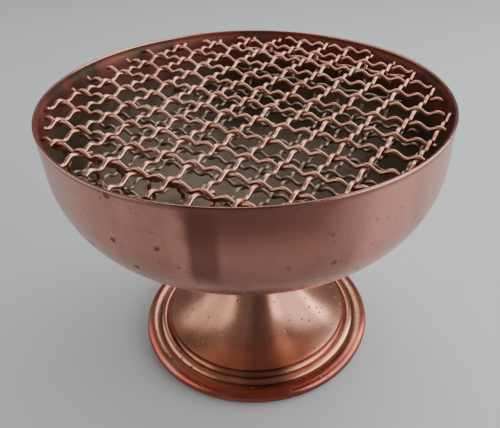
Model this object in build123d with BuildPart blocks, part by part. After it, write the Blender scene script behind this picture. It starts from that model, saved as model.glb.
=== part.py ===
"""Copper flower frog: a footed bowl of spun sheet with a lift-out cage of crimped wire mesh.

Millimetres, +Z up. The origin is the centre of the circle that the foot stands on.
The mesh wires run along X (long wires) and along Y (cross wires).
"""
import os
from math import atan2, degrees, sqrt

from build123d import *

# ---- bowl ----
total_height = 126.0  # top of the rim above the table
wall_radius = 81.5  # outside of the upright wall
sheet = 1.0  # copper sheet of the bowl and of the foot
rim_bead = 0.85  # radius of the rolled edge at the rim
shoulder_height = 108.0  # below this the wall starts to curve in
shoulder_radius = 37.0
shoulder_turn = 60.0  # degrees from the upright wall to the underside

# ---- foot ----
neck_radius = 13.0  # narrowest outside radius, under the bowl
neck_height = 54.2
neck_flare = 5.0  # radius of the flare that meets the bowl
neck_flare_turn = 70.0
step_radius = 45.5  # where the trumpet ends
step_height = 9.2
lip_radius = 3.0  # rolled edge that the foot stands on
lip_centre = 55.6  # radius of the centre of the rolled edge
lip_turn = 154.0  # degrees of the roll, from the bottom round the outside
rest_width = 1.6  # flat in-turned edge under the roll
step_bend = (0.35, 1.8)  # the step's middle point, outwards and down from the trumpet's end
inner_crease = (46.9, 5.8)  # between the step and the ring bead
crease_slant = 0.4  # how far the inner crease moves in with the inside of the sheet
outer_crease = (51.1, 5.5)  # between the ring bead and the lip
bead_top = (49.0, 7.0)

# ---- solder seam ----
seam_width = 2.6  # along the underside of the bowl
seam_drop = 0.2  # below the edge of the flare
seam_play = 0.1  # between the flare's edge and the solder
seam_film = 0.02  # between the bowl and the solder
seam_hollow = (0.9, 0.85)  # middle of the hollow face, outwards and up from the bottom edge

# ---- wire mesh ----
wire_diameter = 1.6
mesh_pitch = 12.7  # half-inch mesh
crossing_gap = 0.05  # clearance between two wires where they cross
crimps_per_pitch = 3  # half waves between two crossings
top_mesh_height = 122.6
top_mesh_reach = 79.6  # the mesh is snipped inside this radius
top_offset = (-0.11 * mesh_pitch, -0.06 * mesh_pitch)  # mesh crossing nearest the axis
short_wire_margin = 3.0  # no wire nearer than this to the edge of the mesh
cradle_depth = 22.0  # floor of the cage below the top mesh
cradle_reach = 78.9
rail_reach = 77.5
cradle_shift = 0.16 * mesh_pitch  # the cage's cross wires stand beside the top ones
wall_inset = 2.1  # the end walls stand this far inside two rows of the top mesh
corner_radius = 4.0  # centre line of the bends between floor and end walls
wall_rows = (-5, 5)  # the rows of the top mesh that the end walls stand beside
wall_tip_depth = 0.3  # tips of the end walls below the top mesh's middle plane
rail_heights = (8.0, 19.5)  # wall wires above the cradle floor
rail_spacing = 3  # crimps of an upright wire between the two rails
bent_columns = range(-3, 4)  # cross wires that bend up into the end walls
side_columns = (-5, -4, 4, 5)  # cross wires that stay flat

crimp = mesh_pitch / crimps_per_pitch
wire_radius = wire_diameter / 2
wave = (wire_diameter + crossing_gap) / 2  # height of one crimp above the middle plane
cradle_height = top_mesh_height - cradle_depth
cradle_offset = (top_offset[0] + cradle_shift, top_offset[1])

os.makedirs("parts", exist_ok=True)


def finish_piece(builder, name):
    """Label one finished piece and write it to its own file."""
    builder.part.label = name
    export_step(builder.part, f"parts/{name}.step")


# ------------------------------------------------------------------ bowl
shoulder_centre = (wall_radius - shoulder_radius, shoulder_height)


def bowl_profile(inset):
    """Wall, shoulder and underside of the bowl, moved inwards by inset."""
    wall = Line((wall_radius - inset, total_height - rim_bead), (wall_radius - inset, shoulder_height))
    shoulder = CenterArc(shoulder_centre, shoulder_radius - inset, 0, -shoulder_turn)
    end = shoulder @ 1
    slope = Vector(end.X - shoulder_centre[0], end.Y - shoulder_centre[1]).normalized()
    under_radius = end.X / slope.X
    centre = (0, end.Y - slope.Y * under_radius)
    CenterArc(centre, under_radius, -shoulder_turn, shoulder_turn - 90)
    return wall @ 0, (0, centre[1] - under_radius), centre[1], under_radius


with BuildPart() as bowl:
    with BuildSketch(Plane.XZ):
        with BuildLine():
            outer_top, outer_bottom, under_centre, under_radius = bowl_profile(0)
            inner_top, inner_bottom, _, _ = bowl_profile(sheet)
            Line(outer_top, inner_top)
            Line(outer_bottom, inner_bottom)
        make_face()
        with Locations((wall_radius - sheet / 2, total_height - rim_bead)):
            Circle(rim_bead)
    revolve(axis=Axis.Z)
finish_piece(bowl, "bowl")


def underside_height(radius):
    """Height of the bowl's outside at a radius near the axis."""
    return under_centre - sqrt(under_radius**2 - radius**2)


# ------------------------------------------------------------------ foot
trumpet_run = step_radius - neck_radius
trumpet_drop = neck_height - step_height
trumpet_radius = (trumpet_run**2 + trumpet_drop**2) / (2 * trumpet_run)
trumpet_turn = degrees(atan2(trumpet_drop, trumpet_radius - trumpet_run))


def foot_profile(inset):
    """Flare, trumpet, step, ring bead and rolled lip, moved inwards by inset."""
    flare_centre = (neck_radius + neck_flare, neck_height)
    flare = CenterArc(flare_centre, neck_flare + inset, 180, -neck_flare_turn)
    trumpet_centre = (neck_radius + trumpet_radius, neck_height)
    trumpet = CenterArc(trumpet_centre, trumpet_radius + inset, 180, trumpet_turn)
    lip = CenterArc((lip_centre, lip_radius), lip_radius - inset, -90, lip_turn)
    crease_in = (inner_crease[0] - crease_slant * inset, inner_crease[1] - inset)
    crease_out = (outer_crease[0], outer_crease[1] - inset)
    trumpet_end = trumpet @ 1
    step_middle = (trumpet_end.X + step_bend[0], trumpet_end.Y - step_bend[1])
    ThreePointArc(trumpet_end, step_middle, crease_in)
    ThreePointArc(crease_in, (bead_top[0], bead_top[1] - inset), crease_out)
    TangentArc(lip @ 1, crease_out, tangent=lip % 1)
    return flare @ 1, lip @ 0


with BuildPart() as foot:
    with BuildSketch(Plane.XZ):
        with BuildLine():
            outer_flare_end, outer_lip_end = foot_profile(0)
            inner_flare_end, inner_lip_end = foot_profile(sheet)
            Line(outer_flare_end, inner_flare_end)
            rest_inner = (lip_centre - rest_width, 0)
            Line(outer_lip_end, rest_inner)
            Line(rest_inner, (rest_inner[0], sheet))
            Line((rest_inner[0], sheet), inner_lip_end)
        make_face()
    revolve(axis=Axis.Z)
finish_piece(foot, "foot")

# ------------------------------------------------------------------ solder seam under the bowl
seam_inner = outer_flare_end.X + seam_play
seam_outer = seam_inner + seam_width
seam_bottom = outer_flare_end.Y - seam_drop
with BuildPart() as solder_seam:
    with BuildSketch(Plane.XZ):
        with BuildLine():
            top_in = (seam_inner, underside_height(seam_inner) - seam_film)
            top_out = (seam_outer, underside_height(seam_outer) - seam_film)
            hollow = (seam_inner + seam_hollow[0], seam_bottom + seam_hollow[1])
            bottom = (seam_inner, seam_bottom)
            Line(top_in, top_out)
            ThreePointArc(top_out, hollow, bottom)
            Line(bottom, top_in)
        make_face()
    revolve(axis=Axis.Z)
finish_piece(solder_seam, "solder_seam")


# ------------------------------------------------------------------ wires
def crimp_run(start, count, along, across, first_sign):
    """A chain of arcs, one to each half wave, from start along a direction."""
    point = Vector(start)
    sign = first_sign
    for _ in range(count):
        middle = point + along * (crimp / 2) + across * (wave * sign)
        end = point + along * crimp
        ThreePointArc(point, middle, end)
        point = end
        sign = -sign
    return point


def crimps_inside(centre_offset, half_chord):
    """First and last whole crimp of a straight wire inside its chord, counted from a crossing."""
    first = int((-half_chord - centre_offset) / crimp + 0.5)
    last = int((half_chord - centre_offset) / crimp - 0.5)
    return first, last


def straight_wire(name, along, across, side, side_place, start_offset, height, reach, sign):
    """A wire with its crimps, snipped between two crimps at both ends."""
    half_chord = sqrt(reach**2 - side_place**2)
    first, last = crimps_inside(start_offset, half_chord)
    start = side * side_place + along * (start_offset + (first - 0.5) * crimp) + Vector(0, 0, height)
    first_sign = sign * (-1) ** (first % 2)
    with BuildPart() as wire:
        with BuildLine() as path:
            crimp_run(start, last - first + 1, along, across, first_sign)
        centre_line = path.wires()[0]
        with BuildSketch(Plane(origin=centre_line @ 0, z_dir=centre_line % 0)):
            Circle(wire_radius)
        sweep(path=centre_line)
    finish_piece(wire, name)


x_axis = Vector(1, 0, 0)
y_axis = Vector(0, 1, 0)
z_axis = Vector(0, 0, 1)


def mesh_rows(offset, reach, margin):
    """Row numbers whose wires are long enough to hold in a round mesh."""
    lowest = int((-reach + margin - offset) / mesh_pitch - 1)
    rows = range(lowest, -lowest + 2)
    return [row for row in rows if abs(offset + row * mesh_pitch) < reach - margin]


# ---- top mesh: at an even crossing the cross wire passes over ----
for number, row in enumerate(mesh_rows(top_offset[1], top_mesh_reach, short_wire_margin), 1):
    place = top_offset[1] + row * mesh_pitch
    straight_wire(f"top_long_wire_{number:02d}", x_axis, z_axis, y_axis, place,
                  top_offset[0], top_mesh_height, top_mesh_reach, -(-1) ** (row % 2))
for number, column in enumerate(mesh_rows(top_offset[0], top_mesh_reach, short_wire_margin), 1):
    place = top_offset[0] + column * mesh_pitch
    straight_wire(f"top_cross_wire_{number:02d}", y_axis, z_axis, x_axis, place,
                  top_offset[1], top_mesh_height, top_mesh_reach, (-1) ** (column % 2))

# ---- cradle: floor wires along X ----
floor_rows = range(wall_rows[0] + 1, wall_rows[1])
for number, row in enumerate(floor_rows, 1):
    place = cradle_offset[1] + row * mesh_pitch
    straight_wire(f"cradle_floor_wire_{number}", x_axis, z_axis, y_axis, place,
                  cradle_offset[0], cradle_height, cradle_reach, -(-1) ** (row % 2))

# ---- cradle: wall rails along X, one pair in each end wall ----
wall_places = (top_offset[1] + wall_rows[0] * mesh_pitch + wall_inset,
               top_offset[1] + wall_rows[1] * mesh_pitch - wall_inset)
for wall, place, outward in zip(("front", "back"), wall_places, (-1, 1)):
    for level, rise, sign in zip(("low", "high"), rail_heights, (1, -1)):
        straight_wire(f"cradle_{wall}_rail_{level}", x_axis, y_axis, y_axis, place,
                      cradle_offset[0], cradle_height + rise, rail_reach, -sign * outward)

# ---- cradle: cross wires, bent up into the end walls or left flat at the sides ----
wall_crimp = (rail_heights[1] - rail_heights[0]) / rail_spacing


def wall_run(start, up, outward, first_sign):
    """The crimped upright part of a bent wire, past both rails."""
    point = start
    sign = first_sign
    for _ in range(rail_spacing + 1):
        middle = point + up * (wall_crimp / 2) + outward * (wave * sign)
        end = point + up * wall_crimp
        ThreePointArc(point, middle, end)
        point = end
        sign = -sign
    return point


def end_wall(corner_start, outward, wall_place, column_sign):
    """Corner and upright run of one end of a bent wire; its tip stands in a square of the top mesh."""
    corner_end = Vector(corner_start.X, wall_place, cradle_height + corner_radius)
    TangentArc(corner_start, corner_end, tangent=outward)
    run_start = corner_end + z_axis * (rail_heights[0] - corner_radius - wall_crimp / 2)
    Line(corner_end, run_start)
    run_end = wall_run(run_start, z_axis, outward, column_sign)
    Line(run_end, Vector(run_end.X, run_end.Y, top_mesh_height - wall_tip_depth))


def bent_wire(name, place, column):
    """One cross wire of the cradle: end wall, floor, end wall."""
    sign = (-1) ** (column % 2)
    floor_start = Vector(place, cradle_offset[1] + floor_rows[0] * mesh_pitch - crimp / 2, cradle_height)
    count = (len(floor_rows) - 1) * crimps_per_pitch + 1
    with BuildPart() as wire:
        with BuildLine() as path:
            floor_end = crimp_run(floor_start, count, y_axis, z_axis, sign * (-1) ** (floor_rows[0] % 2))
            for start, outward, wall in zip((floor_start, floor_end), (-y_axis, y_axis), wall_places):
                corner_start = Vector(place, wall - outward.Y * corner_radius, cradle_height)
                Line(start, corner_start)
                end_wall(corner_start, outward, wall, sign)
        centre_line = path.wires()[0]
        with BuildSketch(Plane(origin=centre_line @ 0, z_dir=centre_line % 0)):
            Circle(wire_radius)
        sweep(path=centre_line)
    finish_piece(wire, name)


for number, column in enumerate(bent_columns, 1):
    bent_wire(f"cradle_bent_wire_{number}", cradle_offset[0] + column * mesh_pitch, column)
for number, column in enumerate(side_columns, 1):
    place = cradle_offset[0] + column * mesh_pitch
    straight_wire(f"cradle_side_wire_{number}", y_axis, z_axis, x_axis, place,
                  cradle_offset[1], cradle_height, cradle_reach, (-1) ** (column % 2))
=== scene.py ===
"""Looks of the copper flower frog: spun bowl and foot, crimped wire mesh and a plain studio."""
import math

import bmesh
import bpy
from bpy.props import FloatProperty, FloatVectorProperty, IntProperty, PointerProperty
from mathutils import Matrix, Vector, noise


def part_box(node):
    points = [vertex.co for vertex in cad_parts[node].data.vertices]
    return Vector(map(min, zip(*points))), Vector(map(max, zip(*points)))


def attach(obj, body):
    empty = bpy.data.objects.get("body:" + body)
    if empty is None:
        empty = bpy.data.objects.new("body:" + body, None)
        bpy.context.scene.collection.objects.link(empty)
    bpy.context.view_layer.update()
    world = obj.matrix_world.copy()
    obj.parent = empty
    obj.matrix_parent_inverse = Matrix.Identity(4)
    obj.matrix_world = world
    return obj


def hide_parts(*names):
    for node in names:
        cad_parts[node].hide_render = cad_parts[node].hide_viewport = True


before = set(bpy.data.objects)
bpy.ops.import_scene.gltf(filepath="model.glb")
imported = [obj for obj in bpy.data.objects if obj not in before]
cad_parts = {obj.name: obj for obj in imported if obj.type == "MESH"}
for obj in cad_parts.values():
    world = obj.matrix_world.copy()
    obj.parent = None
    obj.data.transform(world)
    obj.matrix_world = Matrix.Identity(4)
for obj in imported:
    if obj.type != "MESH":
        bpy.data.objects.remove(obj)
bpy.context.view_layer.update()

bl_info = {
    "name": "Copper Flower Frog",
    "version": (1, 0, 0),
    "blender": (4, 5, 0),
    "location": "3D View > Sidebar > Flower Frog",
    "description": "Builds the finished pieces of a footed copper flower frog round its CAD frame",
    "category": "Add Mesh",
}

BOWL_LOW, BOWL_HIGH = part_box("bowl")
FOOT_LOW, FOOT_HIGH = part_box("foot")
MM = 0.001
NOISE_SEED = 11  # the noise in mathutils starts from the clock unless it is seeded

# name, place and size in metres, power in watts, colour; places are in the camera's turned frame
SOFTBOXES = (
    ("left_softbox", (-1.1, -0.1, 0.42), (1.6, 0.8), 8.0, (1.0, 0.99, 0.96)),
    ("right_softbox", (1.0, -0.15, 0.42), (1.7, 0.8), 27.0, (0.98, 1.0, 1.0)),
    ("top_softbox", (0.15, 0.42, 0.90), (1.1, 0.6), 8.5, (1.0, 1.0, 1.0)),
)
SOFTBOX_TARGET = (0.0, 0.0, 0.06)
CAMERA_PLACE = (0.0125, -0.2045, 0.2105)
CAMERA_ROLL = -0.004
FLOOR_HALF_WIDTH = 6.0
FLOOR_DROP = 0.0002  # keeps the floor off the foot's rest face


# ------------------------------------------------------------------ shader expressions
class Value:
    """A shader socket that can be used in Python expressions; each one adds a Math node."""

    def __init__(self, finish, socket):
        self.finish = finish
        self.socket = socket

    def _math(self, operation, first, second=0.0):
        return self.finish.node("ShaderNodeMath", {"operation": operation}, {0: first, 1: second})

    def __add__(self, other):
        return self._math("ADD", self, other)

    def __radd__(self, other):
        return self._math("ADD", other, self)

    def __sub__(self, other):
        return self._math("SUBTRACT", self, other)

    def __rsub__(self, other):
        return self._math("SUBTRACT", other, self)

    def __mul__(self, other):
        return self._math("MULTIPLY", self, other)

    def __rmul__(self, other):
        return self._math("MULTIPLY", other, self)

    def __truediv__(self, other):
        return self._math("DIVIDE", self, other)

    def __pow__(self, other):
        return self._math("POWER", self, other)

    def above(self, low, high):
        """0 below low, 1 above high, smooth in between."""
        settings = {"interpolation_type": "SMOOTHSTEP"}
        return self.finish.node("ShaderNodeMapRange", settings, {0: self, 1: low, 2: high, 3: 0.0, 4: 1.0})

    def below(self, low, high):
        """1 below low, 0 above high, smooth in between."""
        settings = {"interpolation_type": "SMOOTHSTEP"}
        return self.finish.node("ShaderNodeMapRange", settings, {0: self, 1: low, 2: high, 3: 1.0, 4: 0.0})


class Finish:
    """One material: its nodes, and the few patterns that the copper finishes share."""

    def __init__(self, name):
        self.material = bpy.data.materials.new(name)
        self.material.use_nodes = True
        self.tree = self.material.node_tree
        self.surface = next(n for n in self.tree.nodes if n.type == "BSDF_PRINCIPLED")
        place = self.node("ShaderNodeTexCoord", {}, {}, "Object")
        scaled = self.node("ShaderNodeVectorMath", {"operation": "SCALE"}, {0: place, "Scale": 1.0 / MM})
        self.place = scaled
        self.x = self.node("ShaderNodeSeparateXYZ", {}, {0: scaled}, 0)
        self.y = self.node("ShaderNodeSeparateXYZ", {}, {0: scaled}, 1)
        self.z = self.node("ShaderNodeSeparateXYZ", {}, {0: scaled}, 2)
        self.turn = self.node("ShaderNodeMath", {"operation": "ARCTAN2"}, {0: self.y, 1: self.x})

    def node(self, kind, settings, sockets, output=0):
        """A node of a kind: its settings first, then the values or links of its sockets."""
        made = self.tree.nodes.new(kind)
        for key, setting in settings.items():
            if key == "stops":
                self._stops(made.color_ramp, setting)
            else:
                setattr(made, key, setting)
        for key, given in sockets.items():
            if isinstance(given, Value):
                self.tree.links.new(given.socket, made.inputs[key])
            else:
                made.inputs[key].default_value = given
        return Value(self, made.outputs[output])

    def _stops(self, ramp, stops):
        while len(ramp.elements) < len(stops):
            ramp.elements.new(0.5)
        for element, (position, color) in zip(ramp.elements, stops):
            element.position = position
            element.color = (*color, 1.0)

    def noise(self, scale, detail=3.0, place=None, roughness=0.55, distortion=0.0):
        """Noise from 0 to 1; scale is in features to the millimetre."""
        sockets = {"Vector": place or self.place, "Scale": scale, "Detail": detail,
                   "Roughness": roughness, "Distortion": distortion}
        return self.node("ShaderNodeTexNoise", {"noise_dimensions": "3D"}, sockets)

    def cells(self, scale):
        """Distance to the nearest of scattered points, in cells."""
        sockets = {"Vector": self.place, "Scale": scale, "Randomness": 1.0}
        return self.node("ShaderNodeTexVoronoi", {"feature": "F1"}, sockets)

    def vector(self, x, y, z):
        return self.node("ShaderNodeCombineXYZ", {}, {0: x, 1: y, 2: z})

    def mix(self, first, second, factor):
        """Colour that goes from first to second as factor goes from 0 to 1."""
        colors = [c if isinstance(c, Value) else (*c, 1.0) for c in (first, second)]
        settings = {"data_type": "RGBA", "blend_type": "MIX"}
        return self.node("ShaderNodeMix", settings, {0: factor, 6: colors[0], 7: colors[1]}, 2)

    def bump(self, height, strength, distance):
        """Normal from a height in millimetres of relief."""
        return self.node("ShaderNodeBump", {}, {"Strength": strength, "Distance": distance, "Height": height})

    def set(self, name, given):
        """A constant or a pattern on the shader's own socket."""
        if isinstance(given, Value):
            self.tree.links.new(given.socket, self.surface.inputs[name])
        else:
            self.surface.inputs[name].default_value = given

    def radius(self):
        return (self.x * self.x + self.y * self.y) ** 0.5

    def spin_lines(self):
        """Fine rings left by the spinning tool: fast along the profile, slow round it."""
        along = self.z * 2.6 + self.radius() * 1.3
        return self.noise(1.0, 2.0, self.vector(along, self.turn * 0.9, 0.0))

    def sector(self, middle, half, edge):
        """1 within half of the direction middle, in degrees round the axis, soft over edge."""
        warp = (self.noise(0.06, 2.0) - 0.5) * math.radians(edge)
        place = self.turn + warp
        low, high = math.radians(middle - half), math.radians(middle + half)
        soft = math.radians(edge) / 2
        return place.above(low - soft, low + soft) * place.below(high - soft, high + soft)


def spun_copper(name, colors, spot_scale, shade):
    """Glossy spun copper with tool rings, clouds of tarnish, spots, pits and scratches.

    shade maps a finish and its colour to a colour with the painted reflections, painted light and painted
    shade that one piece has, and the bowl's darker rim band.
    """
    clean, warm, dark, stain = colors
    finish = Finish(name)
    rings = finish.spin_lines()
    clouds = finish.noise(0.022, 3.0, distortion=0.6)
    patches = finish.noise(0.075, 5.0, roughness=0.62, distortion=0.9)
    grain = finish.noise(1.7, 2.0)
    spots = finish.cells(spot_scale)
    keep = finish.noise(0.11, 1.0)
    pits = spots.below(0.09, 0.19) * keep.above(0.45, 0.55)
    flecks = finish.cells(spot_scale * 3.1).below(0.10, 0.24) * keep.above(0.44, 0.62)
    slant = finish.vector(finish.x * 0.9 + finish.z * 0.7, finish.y * 0.03, finish.z * 0.05)
    scratches = finish.noise(0.9, 1.0, slant).above(0.66, 0.72) * clouds.above(0.45, 0.6)
    streaks = finish.noise(1.0, 3.0, finish.vector(finish.turn * 3.2, finish.z * 0.012, 4.0))

    color = finish.mix(clean, warm, clouds.above(0.35, 0.68))
    color = finish.mix(color, dark, patches.above(0.50, 0.78) * 0.5)
    color = finish.mix(color, dark, streaks.above(0.50, 0.72) * 0.4)
    color = finish.mix(color, dark, rings.above(0.45, 0.75) * 0.18)
    # the piece's painted reflections, painted light and painted shade are mixed in here
    color = shade(finish, color)
    color = finish.mix(color, stain, flecks * 0.45)
    color = finish.mix(color, stain, pits * 0.9)
    finish.set("Base Color", color)
    finish.set("Metallic", 1.0 - 0.35 * pits - 0.15 * patches.above(0.5, 0.8))
    finish.set("Roughness", 0.17 + 0.10 * clouds + 0.08 * patches + 0.04 * grain + 0.2 * pits)
    relief = rings * 0.035 + clouds * 0.5 + grain * 0.003 - pits * 0.22 - scratches * 0.03
    finish.set("Normal", finish.bump(relief, 0.55, MM))
    return finish.material


def bowl_shade(finish, color):
    """Painted reflections on the outer wall: a narrow dark painted reflection down the front, a dark painted
    reflection under the rim facing the camera, a dimmer painted reflection beside it, a painted light band
    along the lower wall, and a darker band at the rim.
    """
    deep, rim = (0.13, 0.05, 0.04), (0.20, 0.085, 0.065)
    drop = finish.z.above(90.0, 99.0) * finish.z.below(119.0, 127.0)
    # painted reflection: a narrow dark streak down the front wall, on the side facing the camera
    color = finish.mix(color, deep, finish.sector(-68.0, 3.4, 2.5) * drop * 0.8)
    # painted reflection: a dark patch under the rim on the side facing the camera
    painted_collar_reflection = finish.z.above(106.0, 121.0) * finish.sector(-56.0, 17.0, 9.0)
    color = finish.mix(color, deep, painted_collar_reflection * 0.92)
    # painted reflection: a dimmer patch on the front of the wall, beside the dark collar
    side = finish.sector(-49.0, 17.0, 8.0) * finish.z.above(84.0, 92.0)
    color = finish.mix(color, rim, side * 0.55)
    # painted light: a lighter band low on the bowl, standing in for light reflected from the lit floor under
    # it
    color = finish.mix(color, (0.74, 0.43, 0.35), finish.z.below(82.0, 95.0) * 0.9)
    return finish.mix(color, rim, finish.z.above(123.6, 125.0) * 0.6)


def foot_shade(finish, color):
    """Painted reflections and shade on the foot: a dark painted reflection on the side facing the camera,
    painted shade on the trumpet's sides, a mottled red painted reflection on the lip, a dimmer painted
    reflection on the front of the lip and painted shade in the creases beside the ring bead.
    """
    # painted reflection: dark on the side of the foot that faces the camera
    color = finish.mix(color, (0.15, 0.06, 0.045), finish.sector(-53.0, 11.0, 12.0) * 0.6)
    foot_radius = finish.radius()
    # painted shade on the trumpet's sides, where they turn away from the camera
    painted_flank_shade = finish.sector(-14.0, 20.0, 16.0) + finish.sector(-108.0, 12.0, 14.0) * 0.5
    color = finish.mix(color, (0.14, 0.065, 0.048), painted_flank_shade * foot_radius.below(43.0, 46.0) * 0.85)
    # painted reflection: mottled red on the outer lip, where the rolled edge reflects the floor
    red = finish.noise(0.03, 2.0).above(0.22, 0.50) * foot_radius.above(53.6, 56.4)
    color = finish.mix(color, (0.34, 0.062, 0.045), red * 0.92)
    # painted reflection: a dimmer, redder front part of the lip
    dim = finish.sector(-22.0, 24.0, 20.0) * foot_radius.above(50.0, 53.0)
    color = finish.mix(color, (0.15, 0.045, 0.038), dim * 0.7)
    # painted shade in the creases on either side of the ring bead
    inner_crease_shade = foot_radius.above(45.6, 46.6) * foot_radius.below(47.0, 48.0)
    outer_crease_shade = foot_radius.above(50.2, 51.0) * foot_radius.below(51.3, 52.2)
    return finish.mix(color, (0.12, 0.05, 0.035), (inner_crease_shade + outer_crease_shade) * 0.5)


def bowl_inside():
    """The inside wall: olive brown and dull, with red bloom under the rim."""
    finish = Finish("bowl_inside_tarnish")
    clouds = finish.noise(0.035, 4.0, distortion=0.8)
    streaks = finish.noise(0.05, 3.0, finish.vector(finish.x, finish.y, finish.z * 0.2))
    grain = finish.noise(1.4, 2.0)
    color = finish.mix((0.10, 0.072, 0.054), (0.17, 0.125, 0.093), clouds.above(0.35, 0.7))
    color = finish.mix(color, (0.06, 0.045, 0.035), finish.noise(0.12, 3.0).above(0.55, 0.7) * 0.5)
    bloom = finish.z.above(103.0, 116.0) * streaks.above(0.30, 0.60)
    color = finish.mix(color, (0.36, 0.11, 0.085), bloom * 0.85)
    finish.set("Base Color", color)
    finish.set("Metallic", 0.75)
    finish.set("Roughness", 0.34 + 0.18 * clouds + 0.06 * grain)
    finish.set("Normal", finish.bump(clouds * 0.4 + grain * 0.02, 0.5, MM))
    return finish.material


def drawn_wire(name, bright, deep, stain, dull=None):
    """Copper wire: bright where it is rubbed, with deeper blotches, specked with tarnish.

    dull is the colour that wire low in the bowl has gone, if it reaches down there.
    """
    finish = Finish(name)
    drift = finish.noise(0.05, 2.0)
    blotch = finish.noise(0.35, 4.0, roughness=0.65)
    grain = finish.noise(3.5, 2.0)
    specks = finish.cells(0.7).below(0.10, 0.26) * blotch.above(0.4, 0.6)
    color = finish.mix(deep, bright, drift.above(0.3, 0.65))
    color = finish.mix(color, deep, blotch.above(0.45, 0.72) * 0.7)
    roughness = 0.25 + 0.12 * blotch + 0.05 * grain
    if dull:
        low = finish.z.below(108.0, 118.0)
        color = finish.mix(color, finish.mix(dull, stain, blotch.above(0.45, 0.75) * 0.6), low)
        roughness = roughness + 0.12 * low
    color = finish.mix(color, stain, specks * 0.6)
    finish.set("Base Color", color)
    finish.set("Metallic", 1.0 - 0.4 * specks)
    finish.set("Roughness", roughness)
    finish.set("Normal", finish.bump(blotch * 0.05 + grain * 0.015 - specks * 0.04, 0.6, MM))
    return finish.material


def soft_solder():
    """Dull grey solder with a grainy skin."""
    finish = Finish("dull_solder")
    grain = finish.noise(0.8, 4.0)
    finish.set("Base Color", finish.mix((0.30, 0.27, 0.25), (0.52, 0.47, 0.43), grain.above(0.3, 0.7)))
    finish.set("Metallic", 0.9)
    finish.set("Roughness", 0.42 + 0.2 * grain)
    finish.set("Normal", finish.bump(grain * 0.15, 0.6, MM))
    return finish.material


# ------------------------------------------------------------------ mesh helpers
def new_object(name, form, materials):
    """A smooth mesh object from a finished bmesh."""
    mesh = bpy.data.meshes.new(name)
    form.to_mesh(mesh)
    form.free()
    mesh.shade_smooth()
    obj = bpy.data.objects.new(name, mesh)
    bpy.context.scene.collection.objects.link(obj)
    for material in materials:
        mesh.materials.append(material)
    return obj


def arc(centre, radius, start, turn, step=3.0):
    """Points of an arc in the (radius, height) plane, angles in degrees."""
    count = max(2, int(abs(turn) / step) + 1)
    points = []
    for number in range(count + 1):
        angle = math.radians(start + turn * number / count)
        points.append((centre[0] + radius * math.cos(angle), centre[1] + radius * math.sin(angle)))
    return points


def bend_through(first, middle, last, count=8):
    """Points of a smooth bend from first to last that passes through middle."""
    pull = [2 * m - (a + b) / 2 for a, m, b in zip(first, middle, last)]
    points = []
    for number in range(count + 1):
        t = number / count
        points.append(tuple((1 - t) ** 2 * a + 2 * t * (1 - t) * p + t * t * b
                            for a, p, b in zip(first, pull, last)))
    return points


def joined(*runs):
    """Runs of points as one outline, without doubled points."""
    outline = []
    for run in runs:
        for point in run:
            if not outline or math.dist(point, outline[-1]) > 1e-6:
                outline.append(point)
    return outline


def turned(outline, segments, wobble, inner_from=None, sharp_angle=28.0):
    """A closed outline turned round Z. wobble moves a point by hand-made unevenness."""
    form = bmesh.new()
    rings = []
    for segment in range(segments):
        angle = 2 * math.pi * segment / segments
        ring = []
        for radius, height in outline:
            point = Vector((radius * math.cos(angle), radius * math.sin(angle), height))
            ring.append(form.verts.new(point + wobble(point)))
        rings.append(ring)
    count = len(outline)
    for segment in range(segments):
        here, there = rings[segment], rings[(segment + 1) % segments]
        for number in range(count):
            follow = (number + 1) % count
            face = form.faces.new((here[number], there[number], there[follow], here[follow]))
            face.material_index = 1 if inner_from is not None and number >= inner_from else 0
    for number in range(count):
        before = Vector(outline[number]) - Vector(outline[number - 1])
        after = Vector(outline[(number + 1) % count]) - Vector(outline[number])
        if before.angle(after, 0.0) > math.radians(sharp_angle):
            for segment in range(segments):
                edge = form.edges.get((rings[segment][number], rings[(segment + 1) % segments][number]))
                edge.smooth = False
    bmesh.ops.recalc_face_normals(form, faces=form.faces)
    return form


def uneven(amount, size, seed):
    """Slow unevenness of hand-worked sheet, in metres, at most amount."""
    def wobble(point):
        place = point / size + Vector((seed, seed * 1.7, seed * 0.3))
        return noise.noise_vector(place) * amount
    return wobble


def tube(form, points, radius, sides=12, snip=0.0004):
    """A round wire along points, with pinched ends as left by side cutters."""
    rings = []
    count = len(points)
    side = None
    for number, point in enumerate(points):
        ahead = points[min(number + 1, count - 1)]
        behind = points[max(number - 1, 0)]
        along = (ahead - behind).normalized()
        if side is None:
            side = along.orthogonal().normalized()
        side = (side - along * side.dot(along)).normalized()
        other = along.cross(side)
        ring = []
        for corner in range(sides):
            angle = 2 * math.pi * corner / sides
            out = side * math.cos(angle) + other * math.sin(angle)
            ring.append(form.verts.new(point + out * radius))
        rings.append((ring, point, along, side, other))
    for (here, *_), (there, *_) in zip(rings, rings[1:]):
        for corner in range(sides):
            follow = (corner + 1) % sides
            form.faces.new((here[corner], here[follow], there[follow], there[corner]))
    for (ring, point, along, side, other), outward in ((rings[0], -1), (rings[-1], 1)):
        pinched = []
        for corner in range(sides):
            angle = 2 * math.pi * corner / sides
            out = side * math.cos(angle) * 0.92 + other * math.sin(angle) * 0.22
            pinched.append(form.verts.new(point + out * radius + along * (snip * outward)))
        for corner in range(sides):
            follow = (corner + 1) % sides
            corners = (ring[corner], ring[follow], pinched[follow], pinched[corner])
            form.faces.new(corners if outward > 0 else corners[::-1])
        form.faces.new(pinched if outward > 0 else pinched[::-1])


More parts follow.
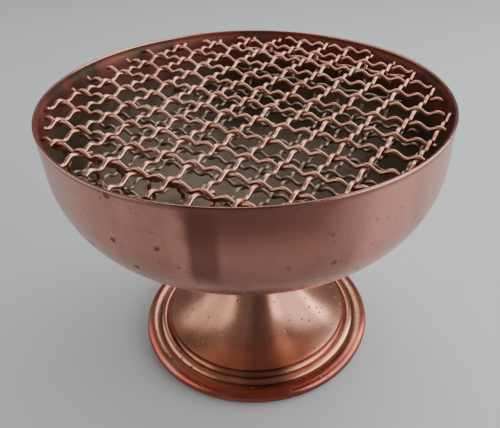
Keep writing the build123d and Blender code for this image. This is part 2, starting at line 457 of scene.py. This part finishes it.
# ------------------------------------------------------------------ settings
class BowlSettings(bpy.types.PropertyGroup):
    sheet: FloatProperty(name="Sheet", description="Thickness of the copper sheet",
                         default=1.0 * MM, unit="LENGTH")
    wall_radius: FloatProperty(name="Wall", description="Outside radius of the upright wall",
                               default=81.5 * MM, unit="LENGTH")
    rim_bead: FloatProperty(name="Rim bead", description="Radius of the rounded edge at the rim",
                            default=0.62 * MM, unit="LENGTH")
    shoulder_radius: FloatProperty(name="Shoulder", description="Radius of the curve under the wall",
                                   default=37.0 * MM, unit="LENGTH")
    shoulder_height: FloatProperty(name="Wall foot", description="Height where the wall starts to curve in",
                                   default=108.0 * MM, unit="LENGTH")
    shoulder_turn: FloatProperty(name="Shoulder turn", description="Turn from the wall to the underside",
                                 default=math.radians(60.0), unit="ROTATION")
    clean: FloatVectorProperty(name="Clean copper", description="Colour of the rubbed copper",
                               subtype="COLOR", default=(0.58, 0.275, 0.22))
    warm: FloatVectorProperty(name="Warm copper", description="Colour of the warmer clouds",
                              subtype="COLOR", default=(0.54, 0.23, 0.175))
    dark: FloatVectorProperty(name="Tarnish", description="Colour of the darker tarnish",
                              subtype="COLOR", default=(0.29, 0.13, 0.10))
    stain: FloatVectorProperty(name="Spots", description="Colour of the spots and pits",
                               subtype="COLOR", default=(0.09, 0.045, 0.03))


class FootSettings(bpy.types.PropertyGroup):
    neck_radius: FloatProperty(name="Neck", description="Narrowest outside radius under the bowl",
                               default=13.0 * MM, unit="LENGTH")
    neck_height: FloatProperty(name="Neck height", description="Height of the narrowest place",
                               default=54.2 * MM, unit="LENGTH")
    neck_flare: FloatProperty(name="Flare", description="Radius of the flare that meets the bowl",
                              default=5.0 * MM, unit="LENGTH")
    flare_turn: FloatProperty(name="Flare turn", description="Turn of the flare from upright",
                              default=math.radians(70.0), unit="ROTATION")
    step_radius: FloatProperty(name="Step radius", description="Radius where the trumpet ends",
                               default=45.5 * MM, unit="LENGTH")
    step_height: FloatProperty(name="Step height", description="Height where the trumpet ends",
                               default=9.2 * MM, unit="LENGTH")
    lip_radius: FloatProperty(name="Lip", description="Radius of the rolled edge",
                              default=3.0 * MM, unit="LENGTH")
    crease_in: FloatProperty(name="Inner crease", description="Height between the step and the ring bead",
                             default=5.8 * MM, unit="LENGTH")
    crease_out: FloatProperty(name="Outer crease", description="Height between the ring bead and the lip",
                              default=5.5 * MM, unit="LENGTH")
    bead_height: FloatProperty(name="Ring bead", description="Height of the ring bead",
                               default=6.8 * MM, unit="LENGTH")
    crown_height: FloatProperty(name="Lip crown", description="Height of the lip beside the outer crease",
                                default=6.45 * MM, unit="LENGTH")
    rest_width: FloatProperty(name="Rest", description="Width of the flat edge that the foot stands on",
                              default=1.6 * MM, unit="LENGTH")
    clean: FloatVectorProperty(name="Clean copper", description="Colour of the rubbed copper",
                               subtype="COLOR", default=(0.50, 0.235, 0.16))
    warm: FloatVectorProperty(name="Warm copper", description="Colour of the warmer clouds",
                              subtype="COLOR", default=(0.43, 0.19, 0.12))
    dark: FloatVectorProperty(name="Tarnish", description="Colour of the darker tarnish",
                              subtype="COLOR", default=(0.24, 0.105, 0.07))


class MeshSettings(bpy.types.PropertyGroup):
    pitch: FloatProperty(name="Pitch", description="Distance between neighbouring wires",
                         default=12.7 * MM, unit="LENGTH")
    crimps: IntProperty(name="Crimps", description="Half waves between two crossings", default=3, min=1)
    wire: FloatProperty(name="Wire", description="Diameter of the wire",
                        default=1.6 * MM, unit="LENGTH")
    wave: FloatProperty(name="Wave", description="Height of one crimp above the middle plane",
                        default=0.825 * MM, unit="LENGTH")
    bright: FloatVectorProperty(name="Bright wire", description="Colour of the rubbed wire",
                                subtype="COLOR", default=(0.60, 0.325, 0.25))
    deep: FloatVectorProperty(name="Deep wire", description="Colour of the tarnished wire",
                              subtype="COLOR", default=(0.44, 0.20, 0.15))
    dull: FloatVectorProperty(name="Low wire", description="Colour of the wire low in the bowl",
                              subtype="COLOR", default=(0.31, 0.235, 0.185))


class StageSettings(bpy.types.PropertyGroup):
    lens: FloatProperty(name="Lens", description="Focal length in millimetres on a 36 mm wide sensor",
                        default=38.26, unit="CAMERA")
    shift_x: FloatProperty(name="Shift X", description="Sideways shift of the lens",
                           default=-0.06, subtype="FACTOR")
    shift_y: FloatProperty(name="Shift Y", description="Upward shift of the lens",
                           default=0.072, subtype="FACTOR")
    world_strength: FloatProperty(name="World", description="Strength of the plain pale surroundings",
                                  default=0.28, subtype="FACTOR")
    floor_color: FloatVectorProperty(name="Floor", description="Colour of the floor",
                                     subtype="COLOR", default=(0.43, 0.445, 0.45))
    pitch: FloatProperty(name="Camera pitch", description="How far the camera looks down",
                         default=math.radians(38.97), unit="ROTATION")
    turn: FloatProperty(name="Camera turn", description="How far the camera stands round the bowl",
                        default=math.radians(29.65), unit="ROTATION")


class FlowerFrogSettings(bpy.types.PropertyGroup):
    bowl: PointerProperty(type=BowlSettings, name="Bowl", description="Bowl sizes and colours")
    foot: PointerProperty(type=FootSettings, name="Foot", description="Foot sizes and colours")
    mesh: PointerProperty(type=MeshSettings, name="Mesh", description="Wire mesh sizes and colours")
    stage: PointerProperty(type=StageSettings, name="Stage", description="Floor and camera")


def settings():
    return bpy.context.scene.flower_frog


# ------------------------------------------------------------------ operators
class FLOWERFROG_OT_bowl(bpy.types.Operator):
    """Turn the bowl: upright wall, round shoulder, shallow underside and a rolled rim."""
    bl_idname = "flowerfrog.bowl"
    bl_label = "Bowl"

    def profile(self, size, inset):
        top = BOWL_HIGH[2] - size.rim_bead
        wall = size.wall_radius
        turn = math.degrees(size.shoulder_turn)
        centre = (wall - size.shoulder_radius, size.shoulder_height)
        shoulder = arc(centre, size.shoulder_radius - inset, 0, -turn)
        steps = 8
        side = [(wall - inset, top + (size.shoulder_height - top) * n / steps) for n in range(steps)]
        end = shoulder[-1]
        under_radius = end[0] / math.cos(math.radians(turn))
        under_centre = (0.0, end[1] + under_radius * math.sin(math.radians(turn)))
        under = arc(under_centre, under_radius, -turn, turn - 89.5, 2.0)
        return joined(side, shoulder, under)

    def execute(self, context):
        noise.seed_set(NOISE_SEED)
        size = settings().bowl
        outside = self.profile(size, 0.0)
        inside = self.profile(size, size.sheet)
        bead_centre = (outside[0][0] - size.sheet / 2, BOWL_HIGH[2] - size.rim_bead)
        bead = arc(bead_centre, size.rim_bead, -50, 280, 20)
        outline = joined(outside[::-1][:-1], bead, inside[1:])
        inner_from = len(outside) - 1 + len(bead) * 3 // 4
        form = turned(outline, 256, uneven(0.35 * MM, 60 * MM, 3.1), inner_from, 50.0)
        colors = (size.clean, size.warm, size.dark, size.stain)
        outside_copper = spun_copper("bowl_spun_copper", [tuple(c) for c in colors], 0.12, bowl_shade)
        materials = [outside_copper, bowl_inside()]
        bowl = new_object("spun_bowl", form, materials)
        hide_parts("bowl")
        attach(bowl, "bowl_and_foot")
        return {"FINISHED"}


class FLOWERFROG_OT_foot(bpy.types.Operator):
    """Turn the foot: flare, trumpet, step, ring bead and rolled lip, hollow underneath."""
    bl_idname = "flowerfrog.foot"
    bl_label = "Foot"

    def profile(self, size, inset):
        flare_centre = (size.neck_radius + size.neck_flare, size.neck_height)
        flare = arc(flare_centre, size.neck_flare + inset, 180, -math.degrees(size.flare_turn), 6)
        run = size.step_radius - size.neck_radius
        drop = size.neck_height - size.step_height
        radius = (run**2 + drop**2) / (2 * run)
        turn = math.degrees(math.atan2(drop, radius - run))
        trumpet = arc((size.neck_radius + radius, size.neck_height), radius + inset, 180, turn)
        end = trumpet[-1]
        lip_centre = (FOOT_HIGH[0] - size.lip_radius, size.lip_radius)
        lip = arc(lip_centre, size.lip_radius - inset, -90, 154, 10)
        crease_in = (size.step_radius + 1.4 * MM - 0.4 * inset, size.crease_in - inset)
        crease_out = (lip_centre[0] - 4.5 * MM, size.crease_out - inset)
        bead_top = ((crease_in[0] + crease_out[0]) / 2, size.bead_height - inset)
        lip_top = ((lip[-1][0] + crease_out[0]) / 2, size.crown_height - inset)
        step = bend_through(end, (end[0] + 0.3 * MM, end[1] - 1.9 * MM), crease_in)
        bead = bend_through(crease_in, bead_top, crease_out)
        crown = bend_through(crease_out, lip_top, lip[-1])
        return joined(flare[::-1], trumpet, step, bead, crown, lip[::-1])

    def execute(self, context):
        noise.seed_set(NOISE_SEED)
        size = settings().foot
        outside = self.profile(size, 0.0)
        inside = self.profile(size, settings().bowl.sheet)
        rest = (outside[-1][0] - size.rest_width, 0.0)
        outline = joined(outside, [rest, (rest[0], settings().bowl.sheet)], inside[::-1])
        form = turned(outline, 256, uneven(0.3 * MM, 45 * MM, 8.4), None, 24.0)
        for vertex in form.verts:
            vertex.co.z = max(vertex.co.z, 0.0)
        stain = tuple(settings().bowl.stain)
        colors = [tuple(size.clean), tuple(size.warm), tuple(size.dark), stain]
        material = spun_copper("foot_spun_copper", colors, 0.24, foot_shade)
        foot = new_object("spun_foot", form, [material])
        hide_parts("foot")
        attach(foot, "bowl_and_foot")
        return {"FINISHED"}


class FLOWERFROG_OT_seam(bpy.types.Operator):
    """Give the solder seam under the bowl its dull skin."""
    bl_idname = "flowerfrog.seam"
    bl_label = "Solder seam"

    def execute(self, context):
        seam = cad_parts["solder_seam"]
        seam.data.materials.clear()
        seam.data.materials.append(soft_solder())
        return {"FINISHED"}


def mesh_drift(point):
    """Slow drift shared by all top wires, so that crossing wires move together."""
    place = point / (38 * MM)
    return noise.noise_vector(place + Vector((4.2, 1.3, 0.0))) * 0.35 * MM


class FLOWERFROG_OT_top_mesh(bpy.types.Operator):
    """Weave the top layer: each wire crimped, crossing over and under, snipped at its ends."""
    bl_idname = "flowerfrog.top_mesh"
    bl_label = "Top mesh"
    points_per_crimp = 8

    def wire(self, node, along, side, first_crossing, sign, size, material):
        low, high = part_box(node)
        crimp = size.pitch / size.crimps
        count = round((high[along] - low[along]) / crimp)
        height = (low[2] + high[2]) / 2
        middle = (low[along] + high[along]) / 2
        start = middle - count * crimp / 2
        steps = count * self.points_per_crimp
        points = []
        for number in range(steps + 1):
            place = start + number * crimp / self.points_per_crimp
            phase = math.pi * (place - first_crossing) / crimp
            point = Vector((0.0, 0.0, height + sign * size.wave * math.cos(phase)))
            point[along] = place
            point[side] = (low[side] + high[side]) / 2
            points.append(point + mesh_drift(point))
        form = bmesh.new()
        tube(form, points, size.wire / 2)
        wire = new_object(node + "_drawn", form, [material])
        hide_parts(node)
        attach(wire, "mesh_cage")

    def execute(self, context):
        noise.seed_set(NOISE_SEED)
        size = settings().mesh
        stain = tuple(settings().bowl.stain)
        material = drawn_wire("top_mesh_copper", tuple(size.bright), tuple(size.deep), stain)
        names = sorted(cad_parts)
        families = (("top_long_wire", 0, 1, "top_cross_wire_06", -1),
                    ("top_cross_wire", 1, 0, "top_long_wire_06", 1))
        for family, along, side, crossing_node, over in families:
            crossing_low, crossing_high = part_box(crossing_node)
            crossing = (crossing_low[along] + crossing_high[along]) / 2
            for name in names:
                if name.startswith(family):
                    row = int(name[-2:]) - 6
                    self.wire(name, along, side, crossing, over * (-1) ** (row % 2), size, material)
        return {"FINISHED"}


class FLOWERFROG_OT_cradle(bpy.types.Operator):
    """Give the wires of the cage under the top mesh their tarnished skin."""
    bl_idname = "flowerfrog.cradle"
    bl_label = "Cradle"

    def execute(self, context):
        size = settings().mesh
        aged = drawn_wire("cradle_tarnished_wire", tuple(size.bright), tuple(size.deep),
                          (0.11, 0.08, 0.06), tuple(size.dull))
        for name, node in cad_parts.items():
            if name.startswith("cradle_"):
                node.data.materials.clear()
                node.data.materials.append(aged)
                node.data.shade_smooth()
        return {"FINISHED"}


class FLOWERFROG_OT_stage(bpy.types.Operator):
    """Pale floor, soft lights and the camera."""
    bl_idname = "flowerfrog.stage"
    bl_label = "Stage"

    def light(self, name, place, target, size, power, color):
        data = bpy.data.lights.new(name, "AREA")
        data.shape = "RECTANGLE"
        data.size, data.size_y = size
        data.energy = power
        data.color = color
        lamp = bpy.data.objects.new(name, data)
        lamp.location = place
        lamp.rotation_euler = (Vector(target) - Vector(place)).to_track_quat("-Z", "Y").to_euler()
        bpy.context.scene.collection.objects.link(lamp)

    def execute(self, context):
        size = settings().stage
        turn = Matrix.Rotation(size.turn, 4, "Z")

        form = bmesh.new()
        bmesh.ops.create_grid(form, x_segments=2, y_segments=2, size=FLOOR_HALF_WIDTH)
        finish = Finish("pale_floor")
        mottle = finish.noise(0.02, 3.0)
        darker = [c * 0.94 for c in size.floor_color]
        finish.set("Base Color", finish.mix(tuple(size.floor_color), darker, mottle))
        finish.set("Roughness", 0.6 + 0.1 * mottle)
        floor = new_object("floor", form, [finish.material])
        floor.location.z = -FLOOR_DROP

        world = bpy.data.worlds.new("studio")
        bpy.context.scene.world = world
        world.use_nodes = True
        background = world.node_tree.nodes["Background"]
        background.inputs["Color"].default_value = (0.80, 0.84, 0.86, 1.0)
        background.inputs["Strength"].default_value = size.world_strength

        target = turn @ Vector(SOFTBOX_TARGET)
        for name, place, box, power, color in SOFTBOXES:
            self.light(name, turn @ Vector(place), target, box, power, color)

        data = bpy.data.cameras.new("camera")
        data.sensor_width = 36.0
        data.lens = size.lens
        data.shift_x = size.shift_x
        data.shift_y = size.shift_y
        data.clip_start = 0.01
        camera = bpy.data.objects.new("camera", data)
        aim = Matrix.Rotation(math.pi / 2 - size.pitch, 4, "X") @ Matrix.Rotation(CAMERA_ROLL, 4, "Z")
        camera.matrix_world = turn @ Matrix.Translation(CAMERA_PLACE) @ aim
        bpy.context.scene.collection.objects.link(camera)
        bpy.context.scene.camera = camera
        return {"FINISHED"}


class FLOWERFROG_PT_panel(bpy.types.Panel):
    """Lists the pieces of the flower frog."""
    bl_label = "Flower Frog"
    bl_space_type = "VIEW_3D"
    bl_region_type = "UI"
    bl_category = "Flower Frog"

    def draw(self, context):
        for operator in OPERATORS:
            self.layout.operator(operator.bl_idname)


OPERATORS = (FLOWERFROG_OT_bowl, FLOWERFROG_OT_foot, FLOWERFROG_OT_seam, FLOWERFROG_OT_top_mesh,
             FLOWERFROG_OT_cradle, FLOWERFROG_OT_stage)
CLASSES = (BowlSettings, FootSettings, MeshSettings, StageSettings, FlowerFrogSettings,
           *OPERATORS, FLOWERFROG_PT_panel)


def register():
    for cls in CLASSES:
        bpy.utils.register_class(cls)
    bpy.types.Scene.flower_frog = PointerProperty(type=FlowerFrogSettings, name="Flower frog",
                                                  description="Sizes and colours of the flower frog")


def unregister():
    del bpy.types.Scene.flower_frog
    for cls in reversed(CLASSES):
        bpy.utils.unregister_class(cls)


def main():
    register()
    bpy.ops.flowerfrog.bowl()
    bpy.ops.flowerfrog.foot()
    bpy.ops.flowerfrog.seam()
    bpy.ops.flowerfrog.top_mesh()
    bpy.ops.flowerfrog.cradle()
    bpy.ops.flowerfrog.stage()


if __name__ == "__main__":
    main()
